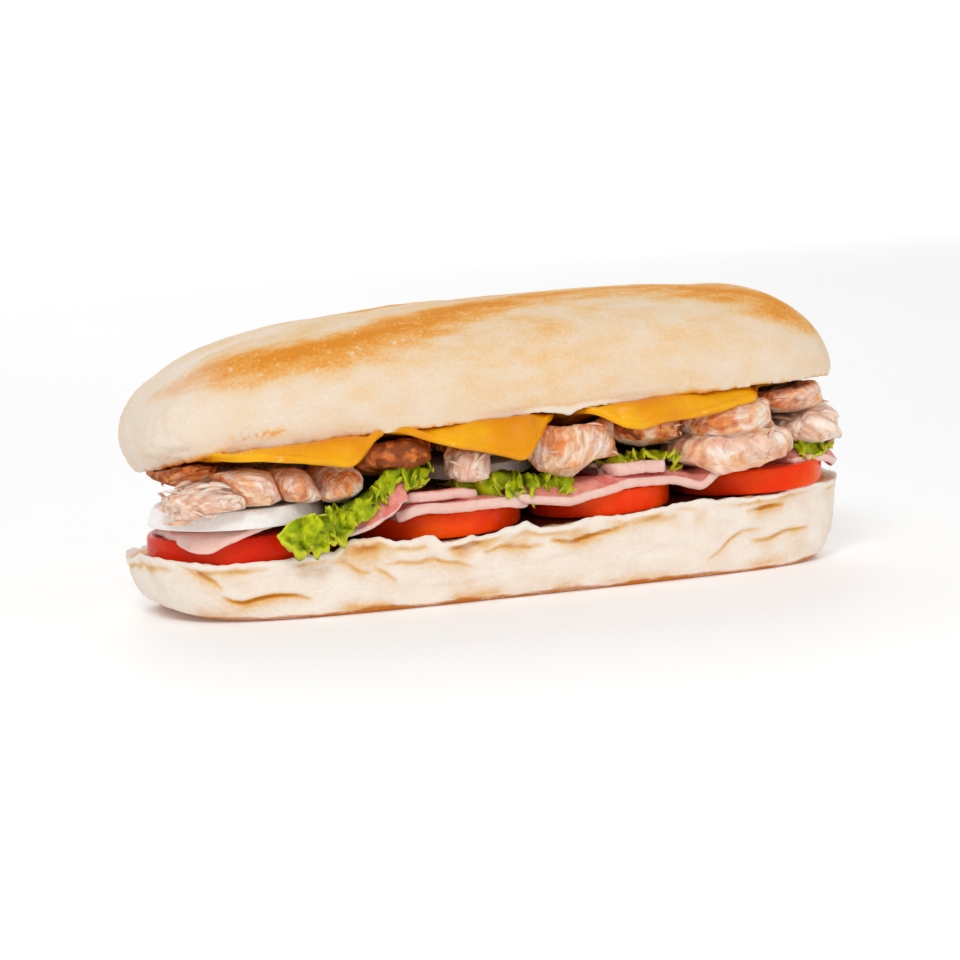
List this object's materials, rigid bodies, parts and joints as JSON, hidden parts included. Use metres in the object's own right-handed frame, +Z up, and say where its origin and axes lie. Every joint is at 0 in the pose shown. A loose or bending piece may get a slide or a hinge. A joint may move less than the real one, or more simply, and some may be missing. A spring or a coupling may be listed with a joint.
{
  "type": "submarine sandwich",
  "caption": "Submarine sandwich: a soft long roll cut through and filled with tomato, ham, lettuce, onion, chicken pieces and cheese slices that hang out at the front.",
  "frame": {"origin": "centre of the flat base of the lower half of the roll, on the surface that the sandwich rests on", "axes": "+X along the roll to its right end, -Y towards the open side served to the front, +Z up"},
  "size_m": [0.2453, 0.0951, 0.0948],
  "materials": {
    "bread_upper": "matt bread crust, browned on top",
    "bread_lower": "matt, soft wrinkled bread crust",
    "tomato": "wet and glossy",
    "ham": "moist satin",
    "lettuce": "fresh satin",
    "onion": "moist, slightly see-through",
    "chicken": "fibrous, moist satin",
    "cheese": "smooth satin"
  },
  "bodies": {
    "root": {"roll_lower": "bread_lower", "roll_upper": "bread_upper", "tomato_slice_1": "tomato", "tomato_slice_2": "tomato", "tomato_slice_3": "tomato", "tomato_slice_4": "tomato", "ham_slice_1": "ham", "ham_slice_2": "ham", "ham_slice_3": "ham", "ham_slice_4": "ham", "ham_slice_5": "ham", "ham_slice_6": "ham", "ham_slice_7": "ham", "lettuce_leaf_1": "lettuce", "lettuce_leaf_2": "lettuce", "lettuce_leaf_3": "lettuce", "lettuce_leaf_4": "lettuce", "onion_slice_1": "onion", "onion_slice_2": "onion", "chicken_piece_01": "chicken", "chicken_piece_02": "chicken", "chicken_piece_03": "chicken", "chicken_piece_04": "chicken", "chicken_piece_05": "chicken", "chicken_piece_06": "chicken", "chicken_piece_07": "chicken", "chicken_piece_08": "chicken", "chicken_piece_09": "chicken", "chicken_piece_10": "chicken", "chicken_piece_11": "chicken", "chicken_piece_12": "chicken", "chicken_piece_13": "chicken", "chicken_piece_14": "chicken", "chicken_piece_15": "chicken", "chicken_piece_16": "chicken", "chicken_piece_17": "chicken", "chicken_piece_18": "chicken", "chicken_piece_19": "chicken", "chicken_piece_20": "chicken", "chicken_piece_21": "chicken", "chicken_piece_22": "chicken", "cheese_slice_1": "cheese", "cheese_slice_2": "cheese", "cheese_slice_3": "cheese"}
  },
  "joints": []
}
